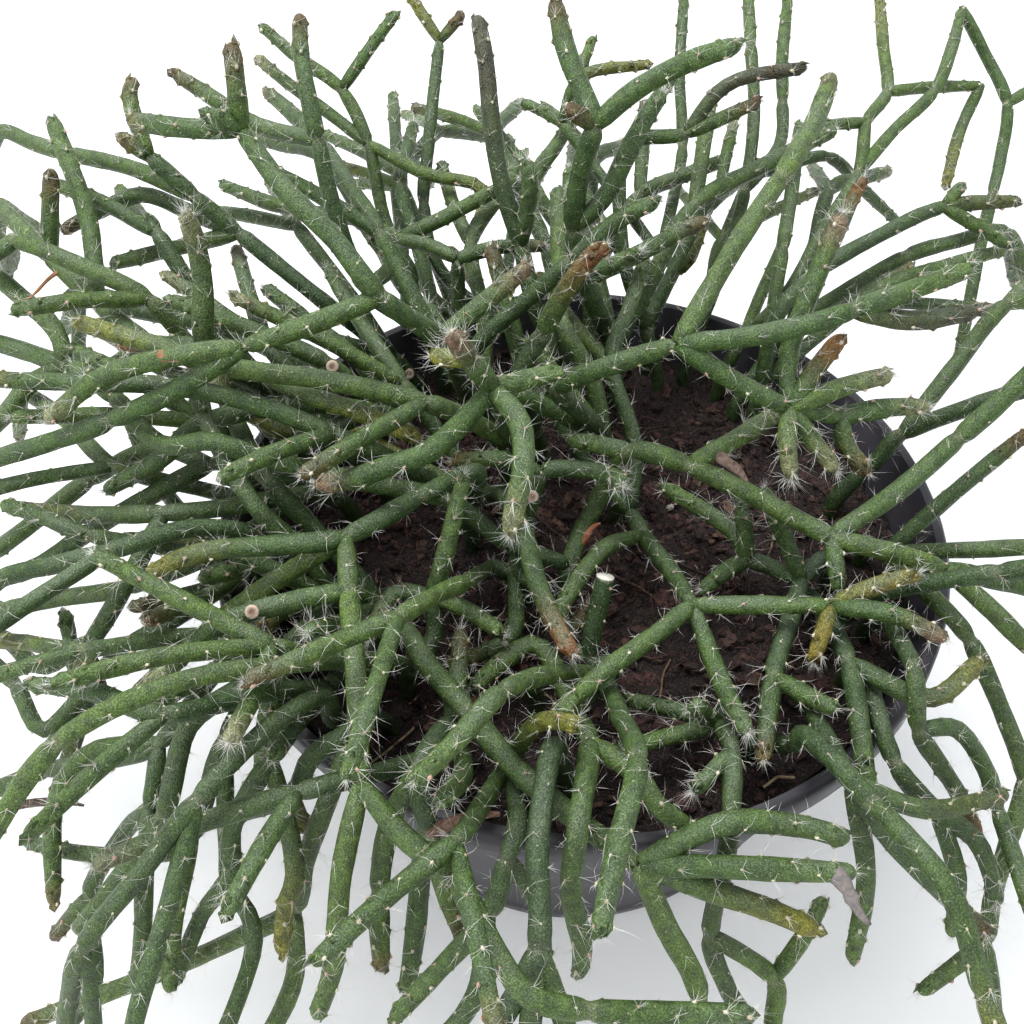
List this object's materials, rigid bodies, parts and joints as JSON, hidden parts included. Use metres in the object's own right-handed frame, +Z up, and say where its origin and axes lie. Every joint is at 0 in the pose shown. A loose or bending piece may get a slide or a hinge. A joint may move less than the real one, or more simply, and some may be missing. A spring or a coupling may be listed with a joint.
{
  "type": "potted mistletoe cactus",
  "caption": "Bushy trailing cactus with thin cylindrical forking stems, in a round tapered plastic nursery pot.",
  "frame": {"origin": "middle of the pot's underside", "axes": "+Z up along the pot's axis, -Y towards the viewer of the picture"},
  "size_m": [0.3487, 0.3133, 0.1914],
  "materials": {
    "pot_plastic": "satin",
    "bark_mix": "rough",
    "stem_skin": "satin"
  },
  "bodies": {
    "root": {"pot": "pot_plastic", "soil": "bark_mix", "shoot_01": "stem_skin", "shoot_02": "stem_skin", "shoot_03": "stem_skin", "shoot_04": "stem_skin", "shoot_05": "stem_skin", "shoot_06": "stem_skin", "shoot_07": "stem_skin", "shoot_08": "stem_skin", "shoot_09": "stem_skin", "shoot_10": "stem_skin", "shoot_11": "stem_skin", "shoot_12": "stem_skin", "shoot_13": "stem_skin", "shoot_14": "stem_skin", "shoot_15": "stem_skin", "shoot_16": "stem_skin", "shoot_17": "stem_skin", "shoot_18": "stem_skin", "shoot_19": "stem_skin", "shoot_20": "stem_skin", "shoot_21": "stem_skin", "shoot_22": "stem_skin", "shoot_23": "stem_skin", "shoot_24": "stem_skin", "shoot_25": "stem_skin", "shoot_26": "stem_skin", "shoot_27": "stem_skin", "shoot_28": "stem_skin", "shoot_29": "stem_skin", "shoot_30": "stem_skin", "shoot_31": "stem_skin", "shoot_32": "stem_skin", "shoot_33": "stem_skin", "shoot_34": "stem_skin", "shoot_35": "stem_skin", "shoot_36": "stem_skin", "shoot_37": "stem_skin", "shoot_38": "stem_skin", "shoot_39": "stem_skin", "shoot_40": "stem_skin", "shoot_41": "stem_skin", "shoot_42": "stem_skin", "shoot_43": "stem_skin", "shoot_44": "stem_skin", "shoot_45": "stem_skin", "shoot_46": "stem_skin", "shoot_47": "stem_skin", "shoot_48": "stem_skin", "shoot_49": "stem_skin", "shoot_50": "stem_skin", "shoot_51": "stem_skin", "shoot_52": "stem_skin", "shoot_53": "stem_skin", "shoot_54": "stem_skin", "shoot_55": "stem_skin", "shoot_56": "stem_skin", "shoot_57": "stem_skin", "shoot_58": "stem_skin"}
  },
  "joints": []
}
